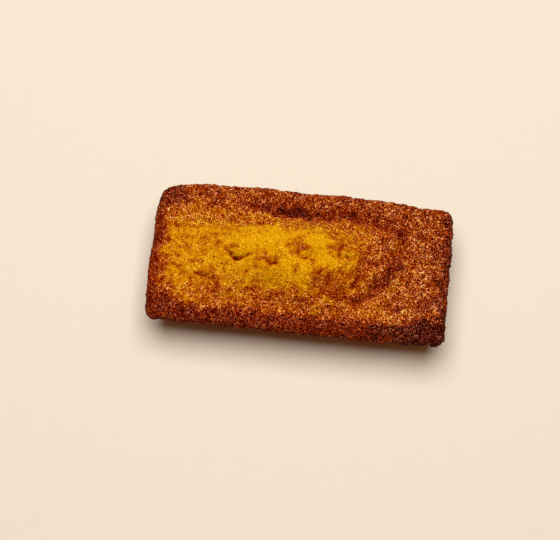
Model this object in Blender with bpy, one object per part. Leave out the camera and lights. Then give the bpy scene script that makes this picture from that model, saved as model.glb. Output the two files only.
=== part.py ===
"""A financier, the small almond cake that is baked in a shallow tapered tin, as one closed solid.

Run it with blender --background --python part.py, or from Blender's text editor.
Metres, +Z up. The origin is under the middle of the cake, on the surface that it stands on,
+X runs along the cake and +Y points to its far long side.

The shape is worked out in three steps. A template is a flat grid with a wall of rings under
its border, like an upturned tray, so each of its points has a place along, a place across and a
ring. mould_form turns these into a point of the smooth cake: the rounded outline, the risen top
and the tapered wall. crust_relief then pushes the points in and out along their normals, for
the lumps and the crags of the crust.
"""

import bmesh
import bpy
import numpy as np

NAME = "financier_cake"
MM = 0.001

# All that follows is in millimetres, and the finished points are scaled by MM.

# The cake's overall form
LENGTH = 87.6  # over the rim
WIDTH = 44.2
RIM_TOP = 13.2  # the crest of the border, above the base
RIM_ROUNDING = 2.0  # the border rolls over with this radius into the wall
WALL_TOP = RIM_TOP - RIM_ROUNDING  # where the cake is widest
WALL_TAPER = 5.4  # the base is this much smaller than the rim, on each side
LIP = 0.45  # the border stands this far out over the wall
LIP_DEPTH = 2.2  # and the overhang fades out over this much height
FOOT_ROUNDING = 1.6  # between wall and base

# The outline. Corners are far left, far right, near left and near right.
CORNER_RADII = {(-1, 1): 2.6, (1, 1): 3.0, (-1, -1): 3.0, (1, -1): 2.6}
FAR_BOW, NEAR_BOW = 2.0, 0.25  # how far the long sides fall back towards their ends
LEFT_BOW, RIGHT_BOW = 1.0, 0.15  # and the ends towards their corners
FAR_DENTS = ((-42.0, 4.0, 0.8), (0.0, 4.0, 0.45), (33.0, 4.5, 0.55))  # place, half width, depth

# The risen top. Its middle is left of centre, and its foot lies further out on the left and
# near sides, where it slopes gently.
DOME_MIDDLE = (2.0, 0.4)
DOME_REACH = {"left": 40.0, "right": 25.5, "far": 13.6, "near": 18.5}
DOME_SQUARENESS = 2.5  # 2 is an ellipse, and more is nearer to a rectangle
DOME_RISE = 3.5
DOME_SHOULDER = 0.30  # the share of the reach where the dome begins to fall

# The plateau is the pale, cracked part that rose last.
PLATEAU_MIDDLE = (-4.5, 1.0)
PLATEAU_REACH = (21.5, 10.0)
PLATEAU_RISE = 1.5
PLATEAU_EDGE = (0.55, 1.15)  # it falls between these shares of its reach

# Grooves and ridges are (half width, height, route). The height is below nothing for a groove, and
# the route is a few plan points.
FOLDS = {
    "groove at the far foot": (1.8, -1.4, ((-19, 16), (-4, 14.5), (4, 14), (12, 15.5), (21, 13.5), (29, 13))),
    "groove at the right foot": (1.8, -1.3, ((29, 13), (30, 9.5), (28, 1), (25, -5), (18, -12), (15, -13.5))),
    "bank outside that groove": (1.6, 0.7, ((33, 4.5), (31, -0.5), (27.5, -6), (22.5, -11), (15, -15.5))),
    "ridge inside that groove": (1.4, 0.6, ((23, 5), (20.5, -3), (19, -6.5), (14.5, -11.5))),
    "groove inside the ridge": (1.2, -0.9, ((21, 2), (20, -2), (17.5, -4.5), (16.5, -7.5), (13, -11))),
    "groove beside the pit": (1.0, -0.7, ((23.5, 10), (25, 7), (26.5, 3.5))),
    "fold on the near slope": (1.3, 0.6, ((9.5, -12.5), (6.5, -14.5), (5, -17))),
    "crease on the left slope": (1.1, -0.4, ((-31, -7.5), (-28, -8), (-24, -9))),
    "long crack": (0.75, -0.7, ((-21.5, -0.5), (-19.5, -2), (-17.5, -3), (-15.5, -2.5), (-13.5, -1))),
    "near crack": (0.75, -0.4, ((-9.5, -3), (-7, -3.5), (-4, -3))),
    "middle crack": (0.75, -0.5, ((-0.5, -0.5), (1.5, -1), (3.5, -0.5))),
    "right crack": (0.75, -0.5, ((11, 1.5), (13, 0.5), (16, 1))),
}

# Swellings and dents are (x, y, radius, height).
SWELLINGS = {
    "left knoll": (-15.5, 3.4, 5.0, 0.75),
    "middle knoll": (-9.0, 0.6, 3.6, 0.55),
    "red knoll": (-1.0, 3.0, 3.2, 0.5),
    "right knoll": (4.4, 5.2, 3.6, 0.4),
    "last knoll": (12.4, 4.4, 3.4, 0.55),
    "near knoll": (-2.0, -5.4, 4.6, 0.4),
    "burst blister": (-29.8, 6.4, 1.8, -0.6),
    "pit in the far right": (29.2, 11.6, 2.0, -0.8),
    "dent at the near left corner": (-38.2, -16.2, 2.2, -0.45),
}

# What is drawn on the top wanders from its route by about this much, in swings of this size
WANDER, WANDER_SIZE, WANDER_SEEDS = 1.1, 7.0, (21, 22)

# The crust's relief, as (size of a lump, height, seed)
CRUST_RELIEF = ((9.0, 0.34, 11), (4.2, 0.24, 12), (2.1, 0.17, 13))
WALL_RELIEF = 0.4  # the tin kept the wall this much smoother
RELIEF_FADES_FROM, RELIEF_ENDS_BELOW = 0.75, 0.25  # shares of the rim's height
NOISE_CELLS = 32

# The mesh
TINY = 1e-9
CELLS_ALONG, CELLS_ACROSS = 82, 41
WALL_RINGS = 9
BORDER_CROWDING = 0.3  # 0 spaces the grid evenly, and more draws it to the rim

CRUST_COLOUR = (0.47, 0.17, 0.03, 1.0)
CRUST_ROUGHNESS = 0.5


def s_curve(low, high, value):
    """0 up to low, 1 from high, and a smooth S between them."""
    share = np.clip((value - low) / (high - low), 0, 1)
    return share * share * (3 - 2 * share)


def crowd_to_border(place):
    """Grid places from -1 to 1, moved so that they lie closer near -1 and 1."""
    return (1 - BORDER_CROWDING) * place + BORDER_CROWDING * np.sin(np.pi / 2 * place)


def corner_radius(x, y):
    """The corner radius of the quarter that a point lies in."""
    radius = np.zeros_like(x)
    for (x_side, y_side), value in CORNER_RADII.items():
        in_quarter = (np.sign(x + TINY) == x_side) & (np.sign(y + TINY) == y_side)
        radius = np.where(in_quarter, value, radius)
    return radius


def half_length(place_along, place_across):
    """From the middle to the rim at the ends. The left end bows out more than the right one."""
    bow = np.where(place_along < 0, LEFT_BOW, RIGHT_BOW)
    return LENGTH / 2 - bow * place_across**2


def half_width(x, place_across):
    """From the middle to the rim at the long sides. The far side bows out more, and has dents."""
    toward_end = np.abs(x) / (LENGTH / 2)
    far = WIDTH / 2 - FAR_BOW * toward_end**3
    for place, half_width_of_dent, depth in FAR_DENTS:
        far -= depth * np.exp(-(((x - place) / half_width_of_dent) ** 2))
    return np.where(place_across > 0, far, WIDTH / 2 - NEAR_BOW * toward_end**2)


def outline_point(along, across, inset):
    """The plan place of grid places along and across, and how far inside the outline it lies.

    The outline is the cake's, smaller all round by inset. The grid's square corners are bent to
    round ones: in the square at a corner, u and v run from 0 to 1, and u * sqrt(1 - v^2 / 2) and
    v * sqrt(1 - u^2 / 2) lie in a quarter circle.
    """
    end = half_length(along, across) - inset
    x = along * end
    side = half_width(x, across) - inset
    y = across * side
    radius = corner_radius(along, across)
    u = np.maximum(np.abs(x) - end + radius, 0) / radius
    v = np.maximum(np.abs(y) - side + radius, 0) / radius
    in_corner = (u > 0) & (v > 0)
    bent_x = np.sign(x) * (end - radius + radius * u * np.sqrt(1 - v * v / 2))
    bent_y = np.sign(y) * (side - radius + radius * v * np.sqrt(1 - u * u / 2))
    from_corner = radius * (1 - np.sqrt(np.clip(u * u + v * v - u * u * v * v, 0, 1)))
    inside = np.where(in_corner, from_corner, np.minimum(end - np.abs(x), side - np.abs(y)))
    return np.where(in_corner, bent_x, x), np.where(in_corner, bent_y, y), np.maximum(inside, 0)


def reach_of_dome(x, y):
    """0 at the dome's middle and 1 at its foot, a superellipse with its own reach on each side."""
    dx, dy = x - DOME_MIDDLE[0], y - DOME_MIDDLE[1]
    along = np.abs(dx) / np.where(dx > 0, DOME_REACH["right"], DOME_REACH["left"])
    across = np.abs(dy) / np.where(dy > 0, DOME_REACH["far"], DOME_REACH["near"])
    return (along**DOME_SQUARENESS + across**DOME_SQUARENESS) ** (1 / DOME_SQUARENESS)


def reach_of_plateau(x, y):
    """0 at the plateau's middle and 1 at its edge."""
    along, across = (x - PLATEAU_MIDDLE[0]) / PLATEAU_REACH[0], (y - PLATEAU_MIDDLE[1]) / PLATEAU_REACH[1]
    return np.hypot(along, across)


def distance_to_route(x, y, route):
    """The distance to a line of straight pieces, and how far along it the nearest place is, 0 to 1."""
    nearest = np.full_like(x, np.inf)
    along = np.zeros_like(x)
    pieces = len(route) - 1
    for number, ((x0, y0), (x1, y1)) in enumerate(zip(route[:-1], route[1:])):
        dx, dy = x1 - x0, y1 - y0
        share = np.clip(((x - x0) * dx + (y - y0) * dy) / (dx * dx + dy * dy), 0, 1)
        distance = np.hypot(x - x0 - share * dx, y - y0 - share * dy)
        along = np.where(distance < nearest, (number + share) / pieces, along)
        nearest = np.minimum(distance, nearest)
    return nearest, along


def fold(x, y, half_width_of_fold, height, route):
    """A groove or ridge with a bell-shaped section, which fades out at both ends of its route."""
    distance, along = distance_to_route(x, y, route)
    fading = 0.25 + 0.75 * np.sqrt(np.clip(4 * along * (1 - along), 0, 1))
    return height * fading * np.exp(-((distance / half_width_of_fold) ** 2))


def wandering(x, y):
    """A plan place, moved a little by slow noise, so that what is drawn there wanders."""
    flat = np.stack([x, y, np.zeros_like(x)], axis=1)
    moves = [WANDER * lumps(flat, WANDER_SIZE, seed) for seed in WANDER_SEEDS]
    return x + moves[0], y + moves[1]


def top_height(x, y, inside):
    """The height of the cake's top over a plan place, so far inside the rim."""
    x, y = wandering(x, y)
    height = RIM_TOP + DOME_RISE * (1 - s_curve(DOME_SHOULDER, 1.0, reach_of_dome(x, y)))
    height += PLATEAU_RISE * (1 - s_curve(*PLATEAU_EDGE, reach_of_plateau(x, y)))
    for half_width_of_fold, fold_height, route in FOLDS.values():
        height += fold(x, y, half_width_of_fold, fold_height, route)
    for x0, y0, radius, swelling in SWELLINGS.values():
        height += swelling * np.exp(-((x - x0) ** 2 + (y - y0) ** 2) / radius**2)
    rolled = np.clip(1 - inside / RIM_ROUNDING, 0, 1)
    return height - RIM_ROUNDING * (1 - np.sqrt(1 - rolled**2))


def height_share(ring):
    """A wall ring's share of the rim's height: 1 at the rim, 0 at the base, and closer rings near both."""
    return (1 + np.cos(np.pi * ring / WALL_RINGS)) / 2


def wall_inset(share):
    """How far the wall lies inside the rim: in under the lip, along the tin's taper, round the foot."""
    height = WALL_TOP * share
    down = WALL_TOP - height
    under_lip = LIP * (s_curve(0, LIP_DEPTH, down) - s_curve(LIP_DEPTH, WALL_TOP, down))
    into_foot = np.clip(1 - height / FOOT_ROUNDING, 0, 1)
    round_foot = FOOT_ROUNDING * (1 - np.sqrt(1 - into_foot**2))
    return WALL_TAPER * down / WALL_TOP + under_lip + round_foot


def mould_form(along, across, share):
    """The smooth cake's points, from places along and across the template and shares of the rim's height."""
    along, across = crowd_to_border(along), crowd_to_border(across)
    x, y, _inside = outline_point(along, across, wall_inset(share))
    height = top_height(*outline_point(along, across, 0.0))
    return np.stack([x, y, height * share], axis=1)


def lumps(points, size, seed):
    """Gradient noise, about -1 to 1.

    Slopes are drawn at the corners of cubes of this size and blended between them.
    """
    slopes = np.random.default_rng(seed).normal(size=(NOISE_CELLS,) * 3 + (3,))
    slopes /= np.linalg.norm(slopes, axis=-1, keepdims=True)
    cell = np.floor(points / size).astype(int)
    within = points / size - cell
    blend = within**3 * (within * (within * 6 - 15) + 10)
    total = np.zeros(len(points))
    for corner in np.ndindex(2, 2, 2):
        slope = slopes[tuple(((cell + corner) % NOISE_CELLS).T)]
        weight = np.prod(np.where(corner, blend, 1 - blend), axis=1)
        total += weight * np.sum(slope * (within - corner), axis=1)
    return 1.5 * total


def crust_relief(points, share):
    """How far the crust stands in or out of the smooth form. The wall is smoother and the base flat."""
    strength = WALL_RELIEF + (1 - WALL_RELIEF) * s_curve(RELIEF_FADES_FROM, 1, share)
    strength *= s_curve(0, RELIEF_ENDS_BELOW, share)
    return strength * sum(height * lumps(points, size, seed) for size, height, seed in CRUST_RELIEF)


def template_mesh():
    """A grid from -1 to 1, with the wall's rings under its border and a fan below.

    Each ring lies as far down as its number.
    """
    bm = bmesh.new()
    bmesh.ops.create_grid(bm, x_segments=CELLS_ALONG, y_segments=CELLS_ACROSS, size=1)
    border = [edge for edge in bm.edges if edge.is_boundary]
    for _ring in range(WALL_RINGS):
        pulled = bmesh.ops.extrude_edge_only(bm, edges=border)["geom"]
        border = [part for part in pulled if isinstance(part, bmesh.types.BMEdge) and part.is_boundary]
        lowest = {vert for edge in border for vert in edge.verts}
        bmesh.ops.translate(bm, verts=list(lowest), vec=(0, 0, -1))
    base = bmesh.ops.contextual_create(bm, geom=border)["faces"]
    bmesh.ops.poke(bm, faces=base)
    bmesh.ops.recalc_face_normals(bm, faces=bm.faces)
    mesh = bpy.data.meshes.new(NAME)
    bm.to_mesh(mesh)
    bm.free()
    return mesh


def read_vectors(mesh, attribute):
    """A mesh's vertex vectors, such as co or normal, as an array with a row for each vertex."""
    values = np.empty(len(mesh.vertices) * 3, np.float32)
    mesh.vertices.foreach_get(attribute, values)
    return values.reshape(-1, 3).astype(float)


def set_points(mesh, points):
    mesh.vertices.foreach_set("co", points.astype(np.float32).ravel())
    mesh.update()


def centred(points):
    """The points, moved in plan so that their box is centred on the origin."""
    middle = (points.min(axis=0) + points.max(axis=0)) / 2
    return points - np.array([middle[0], middle[1], 0])


def crust_material():
    """Browned crust with a slight buttery sheen."""
    material = bpy.data.materials.new("crust")
    material.use_nodes = True
    shader = material.node_tree.nodes["Principled BSDF"]
    shader.inputs["Base Color"].default_value = CRUST_COLOUR
    shader.inputs["Roughness"].default_value = CRUST_ROUGHNESS
    shader.inputs["Metallic"].default_value = 0.0
    return material


def make_cake():
    """The cake as one object, in a collection of its own."""
    mesh = template_mesh()
    along, across, depth = read_vectors(mesh, "co").T
    share = height_share(-depth)
    smooth_points = mould_form(along, across, share)
    set_points(mesh, smooth_points)
    normals = read_vectors(mesh, "normal")
    relief = crust_relief(smooth_points, share)
    set_points(mesh, centred(smooth_points + normals * relief[:, None]) * MM)
    mesh.shade_smooth()
    mesh.materials.append(crust_material())
    cake = bpy.data.objects.new(NAME, mesh)
    collection = bpy.data.collections.new("financier")
    bpy.context.scene.collection.children.link(collection)
    collection.objects.link(cake)
    return cake


def main():
    for old in list(bpy.data.objects):
        bpy.data.objects.remove(old, do_unlink=True)
    make_cake()


main()
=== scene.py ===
# %% [markdown]
# # A financier
# A financier is a small almond cake that is baked in a shallow tapered tin. This script loads the
# cake's plain solid as a fixed frame, and makes the surface that people see: a browned border, a
# golden cracked top that rose last, and a skin of fine crumb with a little butter on it.
# Lengths are in millimetres until a mesh is made, where MM turns them into metres. +X runs along
# the cake, +Y goes to its far long side, and +Z is up.

import bpy
import numpy as np
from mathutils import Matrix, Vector


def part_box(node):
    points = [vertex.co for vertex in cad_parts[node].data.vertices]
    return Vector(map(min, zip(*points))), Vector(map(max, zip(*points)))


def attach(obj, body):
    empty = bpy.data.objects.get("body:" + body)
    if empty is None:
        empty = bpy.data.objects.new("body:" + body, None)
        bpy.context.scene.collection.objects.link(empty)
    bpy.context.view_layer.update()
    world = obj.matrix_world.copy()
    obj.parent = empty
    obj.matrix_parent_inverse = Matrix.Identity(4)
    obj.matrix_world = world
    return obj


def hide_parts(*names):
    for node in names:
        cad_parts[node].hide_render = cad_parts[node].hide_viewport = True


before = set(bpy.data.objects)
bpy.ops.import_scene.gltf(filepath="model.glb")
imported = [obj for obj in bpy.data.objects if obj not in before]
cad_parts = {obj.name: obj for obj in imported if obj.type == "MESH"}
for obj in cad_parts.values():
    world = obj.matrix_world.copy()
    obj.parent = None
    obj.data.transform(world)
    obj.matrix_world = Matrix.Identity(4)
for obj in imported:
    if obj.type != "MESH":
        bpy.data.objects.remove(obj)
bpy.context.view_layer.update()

MM = 0.001
CAKE_BOX = np.array(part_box("financier_cake")) / MM
print("the solid measures", np.round(CAKE_BOX[1] - CAKE_BOX[0], 2), "mm")

# %% [markdown]
# ## The camera
# The view is steep, from 70 degrees above the horizon, and turned a little to the cake's right,
# so the long sides seem to fall to the right. A long lens from half a metre keeps the long sides
# nearly parallel. A camera could be placed by coordinates and turns, but an aim, a distance and
# two angles say the same in a way that can be pictured.

# %% Camera
CAMERA_ELEVATION = np.radians(70.0)
CAMERA_AZIMUTH = np.radians(6.098)
CAMERA_DISTANCE = 475.35
CAMERA_AIM = np.array([-5.59, -3.63, 13.0])
LENS, SENSOR = 105.43, 36.0
NEAREST_SEEN = 10.0


def direction(azimuth, elevation):
    """From the aim to an eye: azimuth 0 is on the near side, and grows towards the right."""
    flat = np.cos(elevation)
    return np.array([np.sin(azimuth) * flat, -np.cos(azimuth) * flat, np.sin(elevation)])


def look_from(thing, place, aim):
    """Puts a camera or a lamp at a place, in millimetres, and turns it to its aim."""
    thing.location = place * MM
    thing.rotation_euler = Vector(aim - place).to_track_quat("-Z", "Y").to_euler()


camera = bpy.data.objects.new("camera", bpy.data.cameras.new("camera"))
bpy.context.scene.collection.objects.link(camera)
bpy.context.scene.camera = camera
camera.data.lens = LENS
camera.data.sensor_width = SENSOR
camera.data.clip_start = NEAREST_SEEN * MM
eye = CAMERA_AIM + CAMERA_DISTANCE * direction(CAMERA_AZIMUTH, CAMERA_ELEVATION)
look_from(camera, eye, CAMERA_AIM)
print("camera at", np.round(np.array(camera.location) / MM, 1), "mm")

# %% [markdown]
# ## Shaping functions
# A crust is a smooth form with disorder on top of it, at several sizes. Everything below is built
# from two kinds of function: a blend from 0 to 1 along a smooth S, which places the large forms,
# and noise. Blender's own textures could give the noise, but in numpy whole arrays of points go
# through at once, and the mesh, its browning and its coarseness can all use the same lumps.

# %% Blends and noise
NOISE_CELLS = 32  # the noise repeats after this many cubes
NOISE_SWING = 1.5


def s_curve(low, high, value):
    """0 up to low, 1 from high, and a smooth S between them: 3t^2 - 2t^3."""
    share = np.clip((value - low) / (high - low), 0, 1)
    return share * share * (3 - 2 * share)


def lumps(points, size, seed):
    """Gradient noise around 0, mostly within 0.6 of it and up to about 1.

    A random slope is drawn at each corner of the cubes of this size. Between the corners the
    eight slopes are blended by 6t^5 - 15t^4 + 10t^3, where t is the place within the cube.
    """
    slopes = np.random.default_rng(seed).normal(size=(NOISE_CELLS,) * 3 + (3,))
    slopes /= np.linalg.norm(slopes, axis=-1, keepdims=True)
    cell = np.floor(points / size).astype(int)
    within = points / size - cell
    blend = within**3 * (within * (within * 6 - 15) + 10)
    total = np.zeros(len(points))
    for corner in np.ndindex(2, 2, 2):
        slope = slopes[tuple(((cell + corner) % NOISE_CELLS).T)]
        weight = np.prod(np.where(corner, blend, 1 - blend), axis=1)
        total += weight * np.sum(slope * (within - corner), axis=1)
    return NOISE_SWING * total


def nearest_seed(points, size, seed):
    """The distance to the nearest of a cloud of random points, one in each cube of this size.

    It is a share of the size, so it is 0 at a grain's middle and about 0.7 between grains.
    """
    cloud = np.random.default_rng(seed).random((NOISE_CELLS,) * 3 + (3,))
    cell = np.floor(points / size).astype(int)
    within = points / size - cell
    nearest = np.full(len(points), np.inf)
    for corner in np.ndindex(3, 3, 3):
        step = np.array(corner) - 1
        place = step + cloud[tuple(((cell + step) % NOISE_CELLS).T)]
        nearest = np.minimum(nearest, np.linalg.norm(within - place, axis=1))
    return nearest


line = np.linspace((0, 0, 0), (60, 40, 20), 2000)
line_noise = lumps(line, 3.0, 1)
print("along a line, noise runs from", round(line_noise.min(), 2), "to", round(line_noise.max(), 2),
      "and a seed is at most", round(nearest_seed(line, 3.0, 1).max(), 2), "sizes away")

# %% [markdown]
# ## The form of the cake
# The tin gives the outline and the walls: an oblong with round corners, whose far side bows out,
# and walls that lean in towards the base. The oven gives the top: a dome that slopes gently to
# the left and to the near side, and drops into a groove on the far side and on the right. The
# solid's mesh could be cut finer, but its formulas and sizes, written again here, give a smooth
# form at any fineness. The finished points are also fitted to the solid's box.

# %% Sizes of the form
LENGTH, WIDTH = 87.6, 44.2
RIM_TOP, RIM_ROUNDING = 13.2, 2.0
WALL_TOP = RIM_TOP - RIM_ROUNDING
WALL_TAPER, LIP, LIP_DEPTH, FOOT_ROUNDING = 5.4, 0.45, 2.2, 1.6
CORNER_RADII = {(-1, 1): 2.6, (1, 1): 3.0, (-1, -1): 3.0, (1, -1): 2.6}
FAR_BOW, NEAR_BOW, LEFT_BOW, RIGHT_BOW = 2.0, 0.25, 1.0, 0.15
FAR_DENTS = ((-42.0, 4.0, 0.8), (0.0, 4.0, 0.45), (33.0, 4.5, 0.55))
DOME_MIDDLE, DOME_SQUARENESS = (2.0, 0.4), 2.5
DOME_REACH = {"left": 40.0, "right": 25.5, "far": 13.6, "near": 18.5}
DOME_RISE, DOME_SHOULDER = 3.5, 0.30
PLATEAU_MIDDLE, PLATEAU_REACH = (-4.5, 1.0), (21.5, 10.0)
PLATEAU_RISE, PLATEAU_EDGE = 1.5, (0.55, 1.15)
print("the rim is", RIM_TOP, "mm high, the dome", RIM_TOP + DOME_RISE, "and the plateau",
      RIM_TOP + DOME_RISE + PLATEAU_RISE)

# %% [markdown]
# ## Outline
# Seen from above the cake is an oblong with small round corners, and no side is quite straight,
# because the rim swelled out over the tin a little more in some places than in others. A curve
# could be drawn and filled, but here each place of a square grid, from -1 to 1 along and across,
# is moved to its place on the plan. One function then serves the rim, the wall and the base.

# %% Outline
TINY = 1e-9


def corner_radius(x, y):
    """The corner radius of the quarter that a point lies in."""
    radius = np.zeros_like(x)
    for (x_side, y_side), value in CORNER_RADII.items():
        in_quarter = (np.sign(x + TINY) == x_side) & (np.sign(y + TINY) == y_side)
        radius = np.where(in_quarter, value, radius)
    return radius


def half_length(place_along, place_across):
    """From the middle to the rim at an end: half the length, less the end's bow times across^2."""
    bow = np.where(place_along < 0, LEFT_BOW, RIGHT_BOW)
    return LENGTH / 2 - bow * place_across**2


def half_width(x, place_across):
    """From the middle to the rim at a long side: half the width, less a bow that grows to the ends.

    The far side bows by the cube of the place along and has a bell-shaped dent at three places.
    The near side bows by its square.
    """
    toward_end = np.abs(x) / (LENGTH / 2)
    far = WIDTH / 2 - FAR_BOW * toward_end**3
    for place, half_width_of_dent, depth in FAR_DENTS:
        far -= depth * np.exp(-(((x - place) / half_width_of_dent) ** 2))
    return np.where(place_across > 0, far, WIDTH / 2 - NEAR_BOW * toward_end**2)


def outline_point(along, across, inset):
    """The plan place of grid places along and across, and how far inside the outline it lies.

    The outline is the cake's, smaller all round by inset. The grid's square corners are bent to
    round ones: in the square at a corner, u and v run from 0 to 1, and u * sqrt(1 - v^2 / 2) and
    v * sqrt(1 - u^2 / 2) lie in a quarter circle.
    """
    end = half_length(along, across) - inset
    x = along * end
    side = half_width(x, across) - inset
    y = across * side
    radius = corner_radius(along, across)
    u = np.maximum(np.abs(x) - end + radius, 0) / radius
    v = np.maximum(np.abs(y) - side + radius, 0) / radius
    in_corner = (u > 0) & (v > 0)
    bent_x = np.sign(x) * (end - radius + radius * u * np.sqrt(1 - v * v / 2))
    bent_y = np.sign(y) * (side - radius + radius * v * np.sqrt(1 - u * u / 2))
    from_corner = radius * (1 - np.sqrt(np.clip(u * u + v * v - u * u * v * v, 0, 1)))
    inside = np.where(in_corner, from_corner, np.minimum(end - np.abs(x), side - np.abs(y)))
    return np.where(in_corner, bent_x, x), np.where(in_corner, bent_y, y), np.maximum(inside, 0)


stations = np.array([-40.0, 0.0, 40.0])
print("from the middle to the far rim it is", np.round(half_width(stations, 1), 1), "mm at x", stations)

# %% [markdown]
# ## Dome, plateau, grooves and cracks
# The dome is a superellipse with a reach of its own on each side. The plateau on it is where the
# batter broke through last. All this could be sculpted by hand, but as named places each form can
# be moved or deepened alone: a groove, ridge or crack is a short route on the plan with a
# bell-shaped section, and a knoll or pit is a bell. Slow noise moves all of it a little, so that
# no line looks drawn.

# %% Grooves, ridges, cracks and knolls
# Each fold is its half width, its height and its route. Each swelling is x, y, radius and height.
FOLDS = {
    "groove at the far foot": (
        1.8, -1.4, ((-19, 16), (-4, 14.5), (4, 14), (12, 15.5), (21, 13.5), (29, 13))
    ),
    "groove at the right foot": (
        1.8, -1.3, ((29, 13), (30, 9.5), (28, 1), (25, -5), (18, -12), (15, -13.5))
    ),
    "bank outside that groove": (1.6, 0.7, ((33, 4.5), (31, -0.5), (27.5, -6), (22.5, -11), (15, -15.5))),
    "ridge inside that groove": (1.4, 0.6, ((23, 5), (20.5, -3), (19, -6.5), (14.5, -11.5))),
    "groove inside the ridge": (1.2, -0.9, ((21, 2), (20, -2), (17.5, -4.5), (16.5, -7.5), (13, -11))),
    "groove beside the pit": (1.0, -0.7, ((23.5, 10), (25, 7), (26.5, 3.5))),
    "fold on the near slope": (1.3, 0.6, ((9.5, -12.5), (6.5, -14.5), (5, -17))),
    "crease on the left slope": (1.1, -0.4, ((-31, -7.5), (-28, -8), (-24, -9))),
    "long crack": (0.75, -0.7, ((-21.5, -0.5), (-19.5, -2), (-17.5, -3), (-15.5, -2.5), (-13.5, -1))),
    "near crack": (0.75, -0.4, ((-9.5, -3), (-7, -3.5), (-4, -3))),
    "middle crack": (0.75, -0.5, ((-0.5, -0.5), (1.5, -1), (3.5, -0.5))),
    "right crack": (0.75, -0.5, ((11, 1.5), (13, 0.5), (16, 1))),
}
SWELLINGS = {
    "left knoll": (-15.5, 3.4, 5.0, 0.75),
    "middle knoll": (-9.0, 0.6, 3.6, 0.55),
    "red knoll": (-1.0, 3.0, 3.2, 0.5),
    "right knoll": (4.4, 5.2, 3.6, 0.4),
    "last knoll": (12.4, 4.4, 3.4, 0.55),
    "near knoll": (-2.0, -5.4, 4.6, 0.4),
    "burst blister": (-29.8, 6.4, 1.8, -0.6),
    "pit in the far right": (29.2, 11.6, 2.0, -0.8),
    "dent at the near left corner": (-38.2, -16.2, 2.2, -0.45),
}
print(len(FOLDS), "folds and", len(SWELLINGS), "swellings")

# %% [markdown]
# ## Reaches
# The dome and the plateau are wide forms, and every point has to know how far out on them it lies.
# The distance from the middle would do for a round cake. On an oblong one a measure of reach, 0 in
# the middle and 1 at the foot, follows the form, and it can differ from side to side.

# %% Reaches


def reach_of_dome(x, y):
    """0 at the dome's middle and 1 at its foot: (|x|^n + |y|^n)^(1/n), scaled on each side."""
    dx, dy = x - DOME_MIDDLE[0], y - DOME_MIDDLE[1]
    along = np.abs(dx) / np.where(dx > 0, DOME_REACH["right"], DOME_REACH["left"])
    across = np.abs(dy) / np.where(dy > 0, DOME_REACH["far"], DOME_REACH["near"])
    return (along**DOME_SQUARENESS + across**DOME_SQUARENESS) ** (1 / DOME_SQUARENESS)


def reach_of_plateau(x, y):
    """0 at the plateau's middle and 1 at its edge: sqrt(x^2 + y^2), scaled to an ellipse."""
    along = (x - PLATEAU_MIDDLE[0]) / PLATEAU_REACH[0]
    across = (y - PLATEAU_MIDDLE[1]) / PLATEAU_REACH[1]
    return np.hypot(along, across)


ends = np.array([-LENGTH / 2, LENGTH / 2])
print("the rim's two ends lie", np.round(reach_of_dome(ends, np.zeros(2)), 2), "reaches out on the dome")

# %% [markdown]
# ## Folds
# Grooves, ridges and cracks all follow a route. A smooth curve could be its line, but the distance
# to straight pieces is quick to work out for every point at once, and slow noise bends them anyway.

# %% Folds
FOLD_END = 0.25


def distance_to_route(x, y, route):
    """The distance to a line of straight pieces, and how far along it the nearest place is, 0 to 1."""
    nearest = np.full_like(x, np.inf)
    along = np.zeros_like(x)
    pieces = len(route) - 1
    for number, ((x0, y0), (x1, y1)) in enumerate(zip(route[:-1], route[1:])):
        dx, dy = x1 - x0, y1 - y0
        share = np.clip(((x - x0) * dx + (y - y0) * dy) / (dx * dx + dy * dy), 0, 1)
        distance = np.hypot(x - x0 - share * dx, y - y0 - share * dy)
        along = np.where(distance < nearest, (number + share) / pieces, along)
        nearest = np.minimum(distance, nearest)
    return nearest, along


def fold(x, y, half_width_of_fold, height, route):
    """Height times exp(-(distance / half width)^2), which sinks to a quarter at the route's ends."""
    distance, along = distance_to_route(x, y, route)
    fading = FOLD_END + (1 - FOLD_END) * np.sqrt(np.clip(4 * along * (1 - along), 0, 1))
    return height * fading * np.exp(-((distance / half_width_of_fold) ** 2))


def folds_height(x, y):
    """The sum of all folds."""
    return sum(fold(x, y, *values) for values in FOLDS.values())


beside_crack = folds_height(np.full(3, -17.5), np.array([-3.0, -2.0, -1.0]))
print("0, 1 and 2 mm from the long crack the folds are", np.round(beside_crack, 2), "mm high")

# %% [markdown]
# ## The height of the top
# The rim rolls over as a quarter circle, the dome and the plateau stand on it as two smooth steps,
# and the folds and swellings are added. A sum of simple forms is easier to change than one formula
# that does everything.

# %% Top
WANDER, WANDER_SIZE, WANDER_SEEDS = 1.1, 7.0, (21, 22)


def wandering(x, y):
    """A plan place, moved along x and along y by slow noise."""
    flat = np.stack([x, y, np.zeros_like(x)], axis=1)
    moves = [WANDER * lumps(flat, WANDER_SIZE, seed) for seed in WANDER_SEEDS]
    return x + moves[0], y + moves[1]


def top_height(x, y, inside):
    """The height of the top over a plan place that lies so far inside the rim.

    It is the rim's height, plus the dome's and the plateau's rise along smooth S curves, plus
    folds and swellings, less the fall r - sqrt(r^2 - d^2) of the rolled rim.
    """
    x, y = wandering(x, y)
    height = RIM_TOP + DOME_RISE * (1 - s_curve(DOME_SHOULDER, 1.0, reach_of_dome(x, y)))
    height += PLATEAU_RISE * (1 - s_curve(*PLATEAU_EDGE, reach_of_plateau(x, y)))
    height += folds_height(x, y)
    for x0, y0, radius, swelling in SWELLINGS.values():
        height += swelling * np.exp(-((x - x0) ** 2 + (y - y0) ** 2) / radius**2)
    rolled = np.clip(1 - inside / RIM_ROUNDING, 0, 1)
    return height - RIM_ROUNDING * (1 - np.sqrt(1 - rolled**2))


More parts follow.
